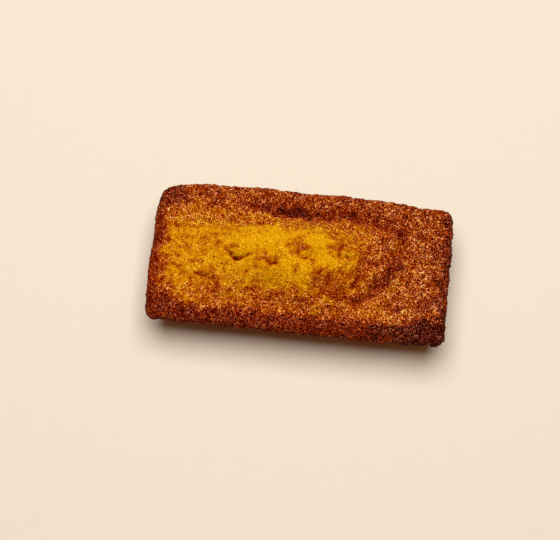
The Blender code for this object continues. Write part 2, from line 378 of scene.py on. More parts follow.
crossing = np.linspace(-WIDTH / 2, WIDTH / 2, 9)
print("across the middle the top is",
      np.round(top_height(np.zeros(9), crossing, WIDTH / 2 - np.abs(crossing)), 1), "mm high")

# %% [markdown]
# ## One closed skin
# The skin is a fine grid for the top, whose border is carried down the wall and in under the base
# as a stack of rings. It could be a subdivided copy of the solid, but a grid of its own gives even
# squares a quarter of a millimetre wide, small enough for real crumb, and each point knows its
# place along, its place across and its share of the rim's height, which the formulas need.

# %% Grid and rings
CELLS_ALONG, CELLS_ACROSS = 368, 182
WALL_RINGS = 22
BASE_RINGS = (0.82, 0.6, 0.35)


def template():
    """Places along and across from -1 to 1, shares of the rim's height, and the points' numbers.

    Down the wall the share falls from 1 to 0, half evenly and half as (1 - cos) / 2, so the rings
    lie closer at the rim and at the foot. Under the base the rings shrink, and one point closes it.
    """
    across, along = np.meshgrid(
        np.linspace(-1, 1, CELLS_ACROSS + 1), np.linspace(-1, 1, CELLS_ALONG + 1), indexing="ij"
    )
    number = np.arange(along.size).reshape(along.shape)
    border = np.concatenate([number[0, :-1], number[:-1, -1], number[-1, :0:-1], number[:0:-1, 0]])
    even = 1 - np.arange(1, WALL_RINGS + 1) / WALL_RINGS
    wall_shares = 0.5 * even + 0.5 * (1 - np.cos(np.pi * even)) / 2
    shares = np.concatenate([wall_shares, np.zeros(len(BASE_RINGS))])
    shrink = np.concatenate([np.ones(WALL_RINGS), BASE_RINGS])
    rings_along = np.outer(shrink, along.ravel()[border]).ravel()
    rings_across = np.outer(shrink, across.ravel()[border]).ravel()
    all_along = np.concatenate([along.ravel(), rings_along, [0.0]])
    all_across = np.concatenate([across.ravel(), rings_across, [0.0]])
    all_shares = np.concatenate([np.ones(along.size), np.repeat(shares, len(border)), [0.0]])
    rings = along.size + np.arange(len(shares) * len(border)).reshape(len(shares), -1)
    return all_along, all_across, all_shares, number, np.vstack([border, rings])


def skin_faces(number, rings):
    """Four-sided faces of the grid and between the rings, and the triangles that close the base."""
    top = np.stack([number[:-1, :-1], number[:-1, 1:], number[1:, 1:], number[1:, :-1]], axis=-1)
    turned = np.roll(rings, -1, axis=1)
    strips = np.stack([rings[:-1], rings[1:], turned[1:], turned[:-1]], axis=-1)
    centre = np.full(rings.shape[1], rings.max() + 1)
    fan = np.stack([rings[-1], centre, turned[-1]], axis=-1)
    return np.vstack([top.reshape(-1, 4), strips.reshape(-1, 4)]), fan


along, across, share, grid_numbers, ring_numbers = template()
quads, fan = skin_faces(grid_numbers, ring_numbers)
print(len(share), "points and", 2 * len(quads) + len(fan), "triangles")

# %% [markdown]
# ## The smooth skin
# The rim stands out over the wall with a small lip, the wall leans in as the tin's did, and the
# foot is round. The rings could be lofted between drawn sections, but one formula for how far a
# ring lies inside the rim is shorter and has no seams.

# %% The smooth skin
BORDER_CROWDING = 0.1


def wall_inset(share):
    """How far the wall lies inside the rim at a share of its height.

    It is the taper times the way down, plus a lip that comes in just under the rim and goes out
    again below, plus r - sqrt(r^2 - h^2) at the round foot, h below where its rounding starts.
    """
    height = WALL_TOP * share
    down = WALL_TOP - height
    under_lip = LIP * (s_curve(0, LIP_DEPTH, down) - s_curve(LIP_DEPTH, WALL_TOP, down))
    into_foot = np.clip(1 - height / FOOT_ROUNDING, 0, 1)
    return WALL_TAPER * down / WALL_TOP + under_lip + FOOT_ROUNDING * (1 - np.sqrt(1 - into_foot**2))


def crowd_to_border(place):
    """Grid places from -1 to 1, closer near both ends: moved a little to sin(90 degrees * place)."""
    return (1 - BORDER_CROWDING) * place + BORDER_CROWDING * np.sin(np.pi / 2 * place)


def make_mesh(name, points, quads, triangles):
    """A mesh in metres from points in millimetres and arrays of faces."""
    mesh = bpy.data.meshes.new(name)
    mesh.from_pydata(points * MM, [], quads.tolist() + triangles.tolist())
    mesh.shade_smooth()
    mesh.update()
    return mesh


along, across = crowd_to_border(along), crowd_to_border(across)
rim_x, rim_y, inside = outline_point(along, across, 0.0)
smooth_x, smooth_y, _ = outline_point(along, across, wall_inset(share))
smooth_points = np.stack([smooth_x, smooth_y, top_height(rim_x, rim_y, inside) * share], axis=1)
skin = make_mesh("crust", smooth_points, quads, fan)
print("the smooth skin measures", np.round(np.ptp(smooth_points, axis=0), 2), "mm")

# %% [markdown]
# ## Lumps, grains and pits
# Close up, the crust has lumps, and on the lumps sit grains of crumb with gaps between them. The
# tin kept the walls smoother, apart from pits where bubbles burst against it. A displacement
# texture could give all this when the picture is made, but worked out here it is in the mesh
# itself, where the outline shows it too. The lumps are the solid's own, and the rest is too fine
# for it.

# %% Lumps, grains and pits
# Each layer is its size, its height and its seed. A pit's radius is a share of the pits' spacing.
CRUST_RELIEF = ((9.0, 0.34, 11), (4.2, 0.24, 12), (2.1, 0.17, 13))
WALL_RELIEF = 0.4
RELIEF_FADES_FROM, RELIEF_ENDS_BELOW = 0.75, 0.25
CRUMB_RELIEF = ((2.3, 0.24, 30), (1.25, 0.24, 31), (0.72, 0.18, 32))
GRAIN_TOP, GRAIN_FALL = 0.75, 1.8
PIT_SPACING, PIT_RADIUS, PIT_DEPTH, PIT_SEED = 2.6, 0.3, 0.35, 33


def crust_relief(points, share):
    """The solid's own relief: a sum of three sizes of lumps, less on the wall and none on the base."""
    strength = WALL_RELIEF + (1 - WALL_RELIEF) * s_curve(RELIEF_FADES_FROM, 1, share)
    strength *= s_curve(0, RELIEF_ENDS_BELOW, share)
    return strength * sum(height * lumps(points, size, seed) for size, height, seed in CRUST_RELIEF)


def crumb_relief(points):
    """Rounded grains of three sizes: each stands up by 0.75 - 1.8 * (distance from its middle)^2."""
    grains = 0.0
    for size, height, seed in CRUMB_RELIEF:
        grains = grains + height * (GRAIN_TOP - GRAIN_FALL * nearest_seed(points, size, seed) ** 2)
    return grains


def pits_of(points):
    """1 in the middle of a pit, and 0 from its radius: 1 less a smooth S of the distance."""
    return 1 - s_curve(0.5 * PIT_RADIUS, PIT_RADIUS, nearest_seed(points, PIT_SPACING, PIT_SEED))


crumb = crumb_relief(smooth_points)
pits = pits_of(smooth_points)
print("grains from", round(crumb.min(), 2), "to", round(crumb.max(), 2), "mm, and pits on",
      round(100 * np.mean(pits > 0)), "% of the skin")

# %% [markdown]
# ## Where the crust is coarse
# The banks round the dome are as coarse as brown sugar. The plateau broke through last and stayed
# smoother, and so did the beds of the grooves. A mask could be painted by hand, but the zones of
# the form already say where the crust is coarse, so one number for each point is worked out from
# them, and both the relief and the material read it.

# %% Coarseness
# Each pair says where a zone starts and where it is full, in millimetres or in shares.
COARSE_LEFT, COARSE_RIGHT_GAIN, RIGHT_COARSENS = 0.45, 0.7, (10, 28)
FAR_COARSENS = (5, 10)
COARSE_NEAR, NEAR_COARSENS = 0.85, (-9, -12)
PLATEAU_SMOOTHER, PLATEAU_SMOOTH_EDGE = 0.45, (0.65, 1.0)
GROOVE_SMOOTHER = 0.3
WALL_COARSENESS, WALL_COARSE_FROM = 0.12, 0.2
TOP_FROM = 0.9


def coarseness_of_top(x, y):
    """The most of three zones, less on the plateau and by the depth of the grooves."""
    coarse = COARSE_LEFT + COARSE_RIGHT_GAIN * s_curve(*RIGHT_COARSENS, x)
    coarse = np.maximum(coarse, s_curve(*FAR_COARSENS, y))
    coarse = np.maximum(coarse, COARSE_NEAR * s_curve(*NEAR_COARSENS, y))
    on_plateau = 1 - s_curve(*PLATEAU_SMOOTH_EDGE, reach_of_plateau(x, y))
    coarse = coarse * (1 - PLATEAU_SMOOTHER * on_plateau)
    return coarse * (1 - GROOVE_SMOOTHER * np.clip(-folds_height(*wandering(x, y)), 0, 1))


on_top = s_curve(TOP_FROM, 1.0, share)
coarseness = on_top * coarseness_of_top(rim_x, rim_y)
coarseness += (1 - on_top) * WALL_COARSENESS * s_curve(0, WALL_COARSE_FROM, share)
print("coarseness from", round(coarseness.min(), 2), "to", round(coarseness.max(), 2))

# %% [markdown]
# ## Cracks
# As the middle rose, the skin over it tore along short lines that stray and break off. The folds above
# give the wide dents that they lie in. The tears themselves could be cut with a knife tool, but following
# the same routes again with a narrow bell keeps each tear in its dent, and fine noise moves and breaks
# it. The same lines are painted darker later, as painted shade in the tears.

# %% Cracks
CRACK_LINES = ("long crack", "near crack", "middle crack", "crease on the left slope")
CRACK_WIDTH, CRACK_DEPTH = 0.32, 0.45
CRACK_STRAY, CRACK_STRAY_SIZE, CRACK_STRAY_SEEDS = 0.5, 1.3, (61, 62)
CRACK_HOLD, CRACK_BREAK, CRACK_BREAK_SIZE, CRACK_BREAK_SEED, CRACK_LEAST = 0.75, 0.8, 1.6, 63, 0.15


def cracks(x, y):
    """exp(-(distance / width)^2) along the cracks' lines, and 0 away from them.

    Fine noise moves the line off its route, and another noise breaks it and changes its width.
    """
    flat = np.stack([x, y, np.zeros_like(x)], axis=1)
    x, y = wandering(x, y)
    x = x + CRACK_STRAY * lumps(flat, CRACK_STRAY_SIZE, CRACK_STRAY_SEEDS[0])
    y = y + CRACK_STRAY * lumps(flat, CRACK_STRAY_SIZE, CRACK_STRAY_SEEDS[1])
    breaks = CRACK_HOLD + CRACK_BREAK * lumps(flat, CRACK_BREAK_SIZE, CRACK_BREAK_SEED)
    breaks = np.clip(breaks, CRACK_LEAST, 1)
    depth = np.zeros_like(x)
    for name in CRACK_LINES:
        distance, along = distance_to_route(x, y, FOLDS[name][2])
        fading = np.sqrt(np.clip(4 * along * (1 - along), 0, 1))
        line = np.exp(-((distance / (CRACK_WIDTH * breaks)) ** 2))
        depth = np.maximum(depth, fading * breaks * line)
    return depth


cracked = np.where(share < 1, 0, cracks(rim_x, rim_y))
print("the skin is torn at", int(np.sum(cracked > 0.5)), "points")

# %% [markdown]
# ## Relief on the skin
# Lumps, grains, pits and cracks are now one height for each point. Each point could be lifted
# straight up, but on the walls that would only stretch them, so it is pushed along its own normal.
# Then the whole skin is fitted to the solid's box.

# %% Relief on the skin
PITS_FROM = 0.1


def read_vectors(mesh, attribute):
    """A mesh's vertex vectors, such as co or normal, as an array with a row for each vertex."""
    values = np.empty(len(mesh.vertices) * 3, np.float32)
    mesh.vertices.foreach_get(attribute, values)
    return values.reshape(-1, 3).astype(float)


pits *= (1 - on_top) * s_curve(0, PITS_FROM, share)
relief = crust_relief(smooth_points, share) + coarseness * crumb - PIT_DEPTH * pits
relief -= CRACK_DEPTH * cracked
points = smooth_points + read_vectors(skin, "normal") * relief[:, None]
low, high = points.min(axis=0), points.max(axis=0)
points = CAKE_BOX[0] + (points - low) / (high - low) * (CAKE_BOX[1] - CAKE_BOX[0])
skin.vertices.foreach_set("co", (points * MM).astype(np.float32).ravel())
skin.update()
print("relief from", round(relief.min(), 2), "to", round(relief.max(), 2), "mm; fitted by",
      np.round((CAKE_BOX[1] - CAKE_BOX[0]) / (high - low), 4))

# %% [markdown]
# ## Patches of colour
# The oven browns what stands out, what is thin and what touches the tin: the border, the walls and the
# banks of the grooves. The plateau stays golden, and everywhere there are spots that caught more or less
# heat than what lies round them. Some patches are painted shade and painted light instead: the shade
# patches beside the cracks, the knolls and the strip; the dark foot of the dome, partly painted shade in
# the far groove; and the light bank and light ridges beside the grooves on the right. An image could be
# painted for this, but a list of soft ellipses needs no picture and stays sharp at any size. Browning is
# one number, from 0 for the palest gold to 1 for nearly black, and painted shade moves along the same
# scale.

# %% Patches
# Each patch is x, y, its reach along and across, its turn in degrees and its browning. On the shade
# patches that browning is painted shade, and on the light bank and ridges it is painted light.
PATCHES_OF_BROWNING_SHADE_AND_LIGHT = {
    "gold of the left knoll": (-13, 3.5, 7.5, 4, 0, 0.02),
    "gold left of it": (-19.5, 3, 4.5, 3.5, 0, 0.13),
    "gold of the right knoll": (4.5, 5, 3.5, 2.5, 0, 0.11),
    "orange behind the last knoll": (10, 7.5, 4, 2.2, 0, 0.44),
    "orange behind the middle": (-3, 7.5, 4, 1.5, 0, 0.26),
    "gold strip on the right": (9.5, -0.5, 7, 1.3, 3, 0.12),
    "shade on that strip": (9.5, 0.5, 2, 0.9, 0, 0.36),
    "end of that strip": (16.5, 2, 1.6, 2.2, -10, 0.14),
    "gold before the middle": (-1, -6, 5.5, 3.5, 0, 0.05),
    "gold under the long crack": (-14, -5, 2.5, 2.5, 0, 0.13),
    "orange knoll": (-8, -2, 4, 1.6, 0, 0.32),
    "red knoll": (-1, 2, 4.4, 2.4, -8, 0.54),
    "red side of the last knoll": (11, 3.5, 3, 2, 0, 0.66),
    "shade by the last knoll": (13, 1, 2, 0.9, 0, 0.36),
    "orange near right": (10.5, -6.5, 7, 4, 0, 0.60),
    "left end of that orange": (7.5, -6.5, 2.6, 2.6, 0, 0.58),
    "orange of the right slope": (20.5, 1, 3, 6, 0, 0.57),
    "gold tip of the strip": (6.5, -3.5, 2.2, 1.2, 0, 0.22),
    "gold end of the strip": (17, 2, 1.6, 1.8, 0, 0.2),
    "brown near right": (13, -11, 7, 1.5, 0, 0.62),
    "light top of the right slope": (20, 7.5, 2, 2, 0, 0.40),
    "brown of the inner groove": (17, -6, 1.3, 3, -25, 0.74),
    "brown of its far end": (21.5, -1.5, 1.5, 1.5, 0, 0.64),
    "light bed of the outer groove": (22.5, -6.5, 1.8, 3, -35, 0.62),
    "light left field": (-34, 1, 4, 3, 0, 0.15),
    "light left field, middle part": (-26, 2, 3, 2.5, 0, 0.17),
    "light left field, far part": (-21, 9, 3, 1.8, 0, 0.24),
    "brown left foot": (-38.5, -5, 2.5, 4, 0, 0.48),
    "brown dot behind it": (-38.5, 9.5, 1.5, 1.2, 0, 0.62),
    "shade left of the long crack": (-25.5, -5.5, 3, 1.2, 0, 0.44),
    "shade below the long crack": (-19.5, -4, 2.4, 1.4, 0, 0.42),
    "shade by the middle crack": (-5.5, -2.5, 1.5, 2.5, 0, 0.34),
    "shade beside the near crack": (-15.5, -8, 1.6, 2, 0, 0.38),
    "gold before the near crack": (-9, -9.8, 4.5, 1.6, 0, 0.22),
    "shade before the middle": (-0.5, -9.7, 2.5, 2, 0, 0.46),
    "pale side of the blister": (-29, 5.5, 0.9, 1.5, 0, 0.18),
    "brown side of the blister": (-30, 9, 0.8, 2.5, 0, 0.50),
    "pale dot": (-25.5, 2.5, 0.7, 1.2, 0, 0.14),
    "brown dot": (-37, 6.5, 0.8, 1.3, 0, 0.62),
    "brown spot at the left edge": (-39.5, 3, 1.4, 1.2, 0, 0.58),
    "small brown dot": (-32, 0, 0.8, 0.8, 0, 0.45),
    "pale spot at the left edge": (-37, 1, 1.6, 1.2, 0, 0.18),
    "brown spot at the left foot": (-38, -10, 1.3, 1, 0, 0.72),
    "dark near left corner": (-39.5, -17.5, 5, 4, 0, 0.91),
    "pale spot on the near slope": (-33.5, -11.5, 2.2, 1.8, 0, 0.22),
    "brown of the left crease": (-28, -7.5, 2, 0.9, -10, 0.55),
    "brown beside that crease": (-23.5, -9.5, 3, 1.4, -10, 0.42),
    "shade at the long crack": (-21, -0.5, 1.6, 0.9, -30, 0.42),
    "brown island far left": (-23.5, 11.5, 1.8, 1.2, 0, 0.55),
    "light island near left": (-18, -13, 4.5, 2, 0, 0.28),
    "light island left of it": (-29.5, -12.3, 2.5, 1.5, 0, 0.26),
    "light foot of the left slope": (-30, -15, 4, 1.2, 0, 0.34),
    "orange of the near left foot": (-36, -15, 2.5, 1.5, 0, 0.46),
    "brown foot of the near slope": (-8, -13.5, 7, 1.5, 0, 0.60),
    "top of the near fold": (10, -12.5, 2, 1, 0, 0.30),
    "end of the near fold": (5.5, -16.5, 2, 2, 0, 0.44),
    "brown right of that fold": (9.5, -15, 1.2, 1.6, 0, 0.74),
    "brown left of that fold": (3.5, -13.2, 1.8, 1.3, 0, 0.66),
    "light dot on the near foot": (-4.5, -15.5, 1.8, 1, 0, 0.44),
    # Painted light: the bank and ridges beside the grooves on the right are painted lighter.
    "light bank": (28, -6.5, 5, 1.6, 50, 0.60),
    "light bank, near part": (23, -11, 4, 1.5, 28, 0.50),
    "light ridge": (21, -2, 1, 1.5, -20, 0.46),
    "light ridge, near part": (17.5, -9.5, 1.5, 1, 30, 0.48),
    "light island by the pit": (27.5, 7, 1.8, 2.8, 0, 0.42),
    "light end of the far slope": (18.5, 11, 2.2, 1, -25, 0.42),
    "dark pit in the far right": (29, 12, 1.3, 2.3, 0, 0.76),
    "dark spot right of the pit": (34.5, 10.5, 2, 1, 0, 0.76),
    "dark spot on the right field": (29.7, -12.3, 2.3, 1.7, 0, 0.95),
    "dark near part of the right field": (37.5, -11.3, 3.2, 2.6, 0, 0.84),
    "dark dot on the right field": (36, -6, 1.6, 1.6, 0, 0.80),
    "dark dot far on the right field": (34.5, 4.5, 2, 2, 0, 0.78),
    "dark right of it": (39.5, 6.5, 1.8, 4, 0, 0.84),
    "light spot by the near right corner": (36.5, -15.8, 2, 1.2, 0, 0.70),
    "dark end of the near border": (29, -19.6, 11, 2.1, 0, 1.02),
    "dark near right corner": (39, -19, 10, 5.5, 12, 1.15),
    "dark far left corner": (-42, 18, 7, 6, 0, 0.90),
    # The dark foot lies in the far groove: partly browning, partly painted shade.
    "dark foot of the dome": (-3.5, 14.5, 9.5, 2, -2, 0.88),
    "dark foot, right part": (11, 16, 3.5, 1.2, 5, 0.68),
    "light far right border": (21, 14.8, 3, 1.6, 0, 0.50),
    "light dot behind the dark foot": (5, 15.7, 1.6, 1.1, 0, 0.50),
    "dark left end of the foot": (-12, 15, 2, 1.2, 0, 0.80),
    "light far left border": (-30, 15.3, 3, 1.5, 0, 0.46),
    "light spot left of it": (-36, 14, 2, 2, 0, 0.52),
    "light dot on the far rim": (-16.5, 18, 2, 1, 0, 0.54),
    "light dot on the far border": (-22, 17, 1.3, 1.4, 0, 0.45),
}
PATCH_STRENGTH, PATCH_EDGE = 0.85, (0.4, 1.3)
print(len(PATCHES_OF_BROWNING_SHADE_AND_LIGHT), "patches")

# %% [markdown]
# ## Browning and painted shade of the top
# From the middle outwards lie the plateau, the slopes of the dome, the borders and the edges. They could
# be masks to multiply, but painting them in order, each over the last, lets a tone be set without thought
# for those under it. Noise moves every edge, because heat leaves no straight line. Last, the grooves are
# painted darker and the ridges lighter, as painted shade and painted light on the folds.

# %% Browning and painted shade of the top
# Each pair says where a zone starts and where it is full, in millimetres, or in reach of the plateau.
FIELD_TONE = 0.27
RIGHT_SLOPE, RIGHT_SLOPE_TONE = (13, 23), 0.65
NEAR_SLOPE, NEAR_SLOPE_TONE = (-8.6, -12.6), 0.52
FAR_SLOPE, FAR_SLOPE_END, FAR_SLOPE_TONE = (5.4, 11.4), (16, 23), 0.42
PLATEAU_GOLD, PLATEAU_TONE = (0.7, 1.1), 0.12
FAR_BORDER, FAR_BORDER_TONE = (12.6, 16.0), 0.70
NEAR_BORDER, NEAR_BORDER_TONE = (-15.1, -18.6), 0.88
LEFT_EDGE, LEFT_EDGE_TONE = (-39.2, -41.8), 0.78
RIGHT_EDGE, RIGHT_EDGE_TONE = (39.5, 42.5), 0.90
EDGE_WANDERS = ((1.5, 3.6, 51), (1.0, 1.6, 53))
# Painted shade in the grooves and painted light on the ridges, per millimetre of the folds.
FOLD_SHADE_AND_LIGHT = 0.14


def paint(browning, mask, tone):
    """Blends the browning towards a tone where the mask is 1."""
    return browning + mask * (tone - browning)


def browning_and_shade_of_top(x, y):
    """Zones from the middle outwards, then patches, each an ellipse with a soft edge, then painted shade
    in the grooves and painted light on the ridges.
    """
    x, y = wandering(x, y)
    flat = np.stack([x, y, np.zeros_like(x)], axis=1)
    for reach, size, seed in EDGE_WANDERS:
        x = x + reach * lumps(flat, size, seed)
        y = y + reach * lumps(flat, size, seed + 1)
    browning = np.full_like(x, FIELD_TONE)
    browning = paint(browning, s_curve(*RIGHT_SLOPE, x), RIGHT_SLOPE_TONE)
    browning = paint(browning, s_curve(*NEAR_SLOPE, y), NEAR_SLOPE_TONE)
    far_slope = s_curve(*FAR_SLOPE, y) * (1 - s_curve(*FAR_SLOPE_END, x))
    browning = paint(browning, far_slope, FAR_SLOPE_TONE)
    plateau = 1 - s_curve(*PLATEAU_GOLD, reach_of_plateau(x, y))
    browning = paint(browning, plateau, PLATEAU_TONE)
    browning = paint(browning, s_curve(*FAR_BORDER, y), FAR_BORDER_TONE)
    browning = paint(browning, s_curve(*NEAR_BORDER, y), NEAR_BORDER_TONE)
    browning = paint(browning, s_curve(*LEFT_EDGE, x), LEFT_EDGE_TONE)
    browning = paint(browning, s_curve(*RIGHT_EDGE, x), RIGHT_EDGE_TONE)
    for x0, y0, reach_along, reach_across, turn, tone in PATCHES_OF_BROWNING_SHADE_AND_LIGHT.values():
        turned = np.exp(-1j * np.radians(turn)) * (x - x0 + 1j * (y - y0))
        reach = np.hypot(turned.real / reach_along, turned.imag / reach_across)
        browning = paint(browning, PATCH_STRENGTH * (1 - s_curve(*PATCH_EDGE, reach)), tone)
    # Painted shade in the grooves and painted light on the ridges.
    return browning - FOLD_SHADE_AND_LIGHT * folds_height(x, y)


top_browning_and_shade = browning_and_shade_of_top(rim_x, rim_y)
print("on the top, browning from", round(top_browning_and_shade.min(), 2), "to", round(top_browning_and_shade.max(), 2))

# %% [markdown]
# ## Browning and painted shade of the skin
# The walls and the base lay on hot metal, so they are an even brown, darker under the rim and round the
# foot. On top of the zones comes disorder: lumps of three sizes, and the gaps between grains, which are
# painted darker than the grain tops, partly as browning and partly as painted shade. It could be as
# strong everywhere, but dark crust hides it and coarse crust browns more than it pales. The cracks are
# painted darker too, as painted shade in the tears. Both numbers go to the mesh as attributes.

# %% Browning and painted shade of the skin
WALL_TONE, RIM_BROWNER, RIM_BROWNS, FOOT_BROWNER, FOOT_BROWNS = 0.66, 0.20, (0.8, 1.0), 0.14, (0.0, 0.18)
BASE_BROWNS = (0.5, 1.0)
BROWNING_NOISE = ((8.0, 0.08, 41), (3.2, 0.24, 42), (1.5, 0.24, 43))
SMOOTH_DISORDER, COARSE_CALMER = 1.2, 0.3
DARK_CALMER, DARK_CALMS = 0.6, (0.6, 0.85)
# The last two are painted shade: in the gaps between grains, partly browning, and in the cracks.
COARSE_LIGHTER, GAP_SHADE_AND_BROWNING, PAINTED_CRACK_SHADE = 0.4, 0.4, 0.75


def browning_of_wall(share):
    """The wall's tone, and more along a smooth S to the rim and to the foot."""
    at_rim = s_curve(*RIM_BROWNS, share)
    at_foot = 1 - s_curve(*FOOT_BROWNS, share)
    return WALL_TONE + RIM_BROWNER * at_rim + FOOT_BROWNER * at_foot


def browning_of_base(place_along, place_across):
    """The wall's tone in the middle, and the tone of its foot at the edge."""
    reach = np.maximum(np.abs(place_along), np.abs(place_across))
    return WALL_TONE + FOOT_BROWNER * s_curve(*BASE_BROWNS, reach)


browning = np.where(share > 0, browning_of_wall(share), browning_of_base(along, across))
browning = np.where(share < 1, browning, top_browning_and_shade)
disorder = sum(height * lumps(smooth_points, size, seed) for size, height, seed in BROWNING_NOISE)
disorder = (SMOOTH_DISORDER - COARSE_CALMER * coarseness) * disorder
# Painted shade in the gaps between grains and lighter grain tops, partly browning.
disorder = disorder - GAP_SHADE_AND_BROWNING * coarseness * crumb
disorder = disorder * (1 - DARK_CALMER * s_curve(*DARK_CALMS, browning))
browning += np.where(disorder < 0, (1 - (1 - COARSE_LIGHTER) * coarseness) * disorder, disorder)
# Painted shade in the cracks.
browning += PAINTED_CRACK_SHADE * cracked
# The browning also holds the painted shade and light of the folds, gaps, cracks and patches.
for name, values in {"browning": browning, "coarseness": coarseness}.items():
    skin.attributes.new(name, "FLOAT", "POINT").data.foreach_set("value", values.astype(np.float32))
print("browning from", round(browning.min(), 2), "to", round(browning.max(), 2))

# %% [markdown]
# ## Writing shaders as sums
# A shader could be linked node by node, but it is easier to read as a formula. So one small class
# wraps a node's output, and + - * / on it make Math nodes.

# %% Shader sums


class Value:
    """A node's output. Arithmetic on it adds Math nodes to the same tree."""

    def __init__(self, recipe, socket):
        self.recipe, self.socket = recipe, socket

    def math(self, operation, *others):
        return self.recipe.node("ShaderNodeMath", {"operation": operation}, others)

    def __add__(self, other):
        return self.math("ADD", self, other)

    def __sub__(self, other):
        return self.math("SUBTRACT", self, other)

    def __rsub__(self, other):
        return self.math("SUBTRACT", other, self)

    def __mul__(self, other):
        return self.math("MULTIPLY", self, other)

    def __truediv__(self, other):
        return self.math("DIVIDE", self, other)

    def __rtruediv__(self, other):
        return self.math("DIVIDE", other, self)

    def clamped(self):
        """Held from 0 to 1."""
        return self.math("MINIMUM", self.math("MAXIMUM", self, 0.0), 1.0)

    def between(self, low, high):
        """0 up to low and 1 from high."""
        return ((self - low) / (high - low)).clamped()

    __radd__, __rmul__ = __add__, __mul__


# %% [markdown]
# ## Recipes
# A material is a tree of nodes. All nodes but Math nodes come from one method, which sets a node's
# settings first and then its inputs, so each recipe below says only what it mixes. It could be
# called every time, but the textures that crust and floor share have short methods of their own.

# %% Recipes


class Recipe:
    """A material's node tree."""

    def __init__(self, name):
        self.material = bpy.data.materials.new(name)
        self.material.use_nodes = True
        self.tree = self.material.node_tree
        self.shader = self.tree.nodes["Principled BSDF"]

    def plug(self, socket, value):
        """Links a Value to a socket, or sets the socket to a number, colour or vector."""
        if isinstance(value, Value):
            self.tree.links.new(value.socket, socket)
        else:
            socket.default_value = value

    def node(self, kind, settings, inputs, output=0):
        """A node of a kind. Inputs are a sequence, or a dictionary by socket name or number."""
        node = self.tree.nodes.new(kind)
        for setting, value in settings.items():
            if setting == "stops":
                self.set_stops(node.color_ramp, value)
            else:
                setattr(node, setting, value)
        pairs = inputs.items() if isinstance(inputs, dict) else enumerate(inputs)
        for key, value in pairs:
            self.plug(node.inputs[key], value)
        return Value(self, node.outputs[output])

    def set_stops(self, ramp, stops):
        """Colour stops as a dictionary from place to colour."""
        while len(ramp.elements) < len(stops):
            ramp.elements.new(0.5)
        for element, (place, colour) in zip(ramp.elements, stops.items()):
            element.position = place
            element.color = (*colour, 1.0)

    def ramp(self, place, stops):
        """A colour looked up along a ramp of stops."""
        return self.node("ShaderNodeValToRGB", {"stops": stops}, {0: place})

    def on_vectors(self, operation, *values):
        """A sum on colours or vectors, which a Math node would turn into one number."""
        return self.node("ShaderNodeVectorMath", {"operation": operation}, values)

    def object_place(self):
        """The point's own place in the object's metres."""
        return self.node("ShaderNodeTexCoord", {}, {}, output="Object")

    def noise(self, place, size, detail, output="Fac"):
        """Noise with features of this size in millimetres, 0 to 1, or three of them as a colour."""
        inputs = {"Vector": place, "Scale": 1 / (size * MM), "Detail": detail}
        return self.node("ShaderNodeTexNoise", {}, inputs, output)

    def warped(self, place, size, reach):
        """A place that noise of this size moves by up to about half the reach, in millimetres."""
        moves = self.noise(place, size, detail=1.0, output="Color")
        return self.on_vectors("MULTIPLY_ADD", moves, (reach * MM,) * 3, place)

    def bubbles(self, place, size, feature):
        """The distance from the middle of a bubble of about this size (F1), or to its edge."""
        inputs = {"Vector": place, "Scale": 1 / (size * MM)}
        return self.node("ShaderNodeTexVoronoi", {"feature": feature}, inputs, output="Distance")

    def attribute(self, name):
        """A number that the mesh holds for each point."""
        return self.node("ShaderNodeAttribute", {"attribute_name": name}, {}, output="Fac")


# %% [markdown]
# ## The colours of browning
# Browning turns sugar and butter from gold through orange and chestnut to almost black. Red and
# green fall at different rates, so mixing two colours would miss the oranges, and a ramp of
# several stops follows them. None of them holds more than a trace of blue.

# %% Colours of browning
BROWNING_COLOURS = {
    0.00: (0.69, 0.350, 0.002),
    0.12: (0.635, 0.285, 0.001),
    0.24: (0.505, 0.19, 0.0005),
    0.36: (0.385, 0.094, 0.0003),
    0.48: (0.305, 0.050, 0.0001),
    0.60: (0.22, 0.022, 0.0001),
    0.75: (0.115, 0.004, 0.0001),
    0.91: (0.034, 0.0001, 0.0001),
}
BROWNING_RANGE = 1.15  # the browning at the ramp's end, because the darkest patches go past 1
NOISE_MEAN = 0.5
CRUMB, CRUMB_DETAIL, CRUMB_BROWNING = 1.1, 1.0, 0.55
EVEN_CRUST, COARSE_CRUST = 0.5, 0.55


def browned(recipe, browning, coarseness, crumb):
    """The ramp's colour, at a browning that changes from crumb to crumb, most where it is coarse."""
    unevenness = EVEN_CRUST + COARSE_CRUST * coarseness
    change = unevenness * CRUMB_BROWNING * (NOISE_MEAN - crumb)
    return recipe.ramp(browning + change, BROWNING_COLOURS)


print(len(BROWNING_COLOURS), "stops from gold to nearly black")

# %% [markdown]
# ## Painted steps of light
# Finer than a crumb, a crust changes in light and hardly in hue, and here that change is painted into the
# colour. The eye takes a light step as equal to another when a colour's shares of light, to the power 1 /
# 2.2, change by the same amount. Multiplying the colour would make dark crust too flat and pale crust too
# spotty, so a colour goes to the eye's scale, gets the same step on red, green and blue, and comes back.

# %% Painted steps of light
EYE_POWER = 2.2
BLACK, WHITE = (0.0, 0.0, 0.0), (1.0, 1.0, 1.0)


def stepped(recipe, colour, step):
    """((colour to the power 1 / 2.2) + step) to the power 2.2, held from black to white."""
    seen = recipe.node("ShaderNodeGamma", {}, {"Color": colour, "Gamma": 1 / EYE_POWER})
    seen = recipe.on_vectors("ADD", seen, step)
    seen = recipe.on_vectors("MAXIMUM", seen, BLACK)
    seen = recipe.on_vectors("MINIMUM", seen, WHITE)
    return recipe.node("ShaderNodeGamma", {}, {"Color": seen, "Gamma": EYE_POWER})


print("a step of 0.1 takes mid grey to", round((0.5 ** (1 / EYE_POWER) + 0.1) ** EYE_POWER, 2))

